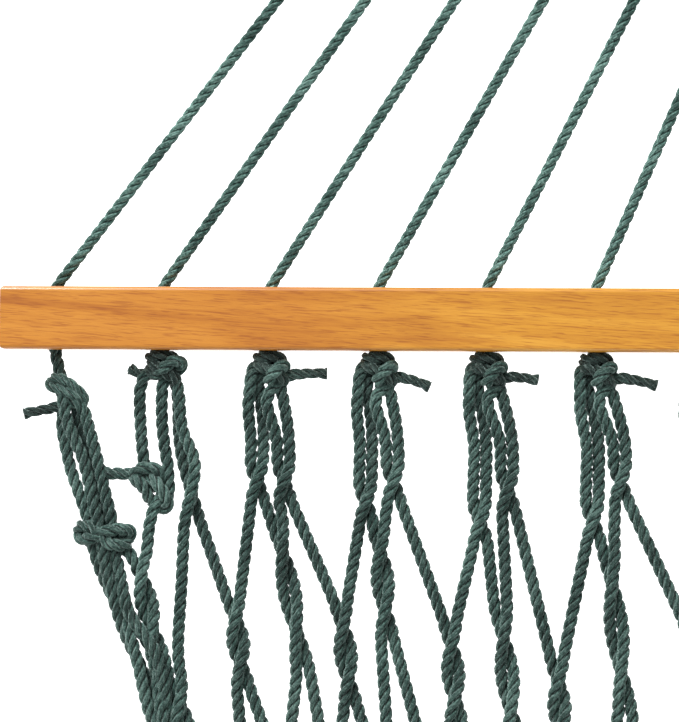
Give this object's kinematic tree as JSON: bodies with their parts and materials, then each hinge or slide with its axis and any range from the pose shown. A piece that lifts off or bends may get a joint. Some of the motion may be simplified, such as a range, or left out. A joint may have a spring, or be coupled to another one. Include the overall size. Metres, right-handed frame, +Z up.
{
  "type": "rope hammock on stand",
  "caption": "Rope hammock with two wooden spreader bars and fanned clew ropes, hung by chains and snap hooks from a bolted steel tube floor stand.",
  "frame": {"origin": "on the floor under the middle of the bed", "axes": "+X along the hammock towards the end that the picture shows, +Y across it, +Z up"},
  "size_m": [4.2324, 1.397, 1.322],
  "materials": {
    "frame_steel": "satin powder coat, dark",
    "zinc_steel": "bright zinc plate",
    "plastic_cap": "moulded black",
    "rubber": "matt black",
    "oak": "gloss clear varnish over honey oak",
    "rope": "three-strand spun rope, dark green"
  },
  "bodies": {
    "stand": {"base_tube_head": "frame_steel", "base_tube_foot": "frame_steel", "base_sleeve": "frame_steel", "elbow_head": "frame_steel", "elbow_foot": "frame_steel", "arm_lower_head": "frame_steel", "arm_lower_foot": "frame_steel", "arm_upper_head": "frame_steel", "arm_upper_foot": "frame_steel", "arm_cap_head": "plastic_cap", "arm_cap_foot": "plastic_cap", "cross_foot_head": "frame_steel", "cross_foot_foot": "frame_steel", "rubber_foot_head_left": "rubber", "rubber_foot_head_right": "rubber", "rubber_foot_foot_left": "rubber", "rubber_foot_foot_right": "rubber", "tube_bolts": "zinc_steel", "tube_nuts": "zinc_steel", "foot_bolts": "zinc_steel", "foot_nuts": "zinc_steel", "eye_bolt_head": "zinc_steel", "eye_bolt_foot": "zinc_steel", "eye_washers": "zinc_steel", "eye_nuts": "zinc_steel"},
    "hammock": {"s_hook_head": "zinc_steel", "s_hook_foot": "zinc_steel", "chain_head": "zinc_steel", "chain_foot": "zinc_steel", "snap_hook_head": "zinc_steel", "snap_hook_foot": "zinc_steel", "gate_pin_head": "zinc_steel", "gate_pin_foot": "zinc_steel", "ring_head": "zinc_steel", "ring_foot": "zinc_steel", "clew_ropes_head": "rope", "clew_ropes_foot": "rope", "spreader_bar_head": "oak", "spreader_bar_foot": "oak", "bar_knots_head": "rope", "bar_knots_foot": "rope", "net_bed": "rope", "net_edge_left": "rope", "net_edge_right": "rope"},
    "gate_head": {"snap_gate_head": "zinc_steel"},
    "gate_foot": {"snap_gate_foot": "zinc_steel"}
  },
  "joints": [
    {"name": "swing", "type": "hinge", "parent": "stand", "child": "hammock", "pos_m": [0, 0, 1.27], "axis": [1, 0, 0], "range_deg": [-35, 35]},
    {"name": "gate_head_open", "type": "hinge", "parent": "hammock", "child": "gate_head", "pos_m": [1.85107, 0, 1.21219], "axis": [0, -1, 0], "range_deg": [0, 20], "stiffness_Nm_per_rad": 0.4, "springref_deg": -17.19},
    {"name": "gate_foot_open", "type": "hinge", "parent": "hammock", "child": "gate_foot", "pos_m": [-1.85107, 0, 1.21219], "axis": [0, 1, 0], "range_deg": [0, 20], "stiffness_Nm_per_rad": 0.4, "springref_deg": -17.19}
  ]
}
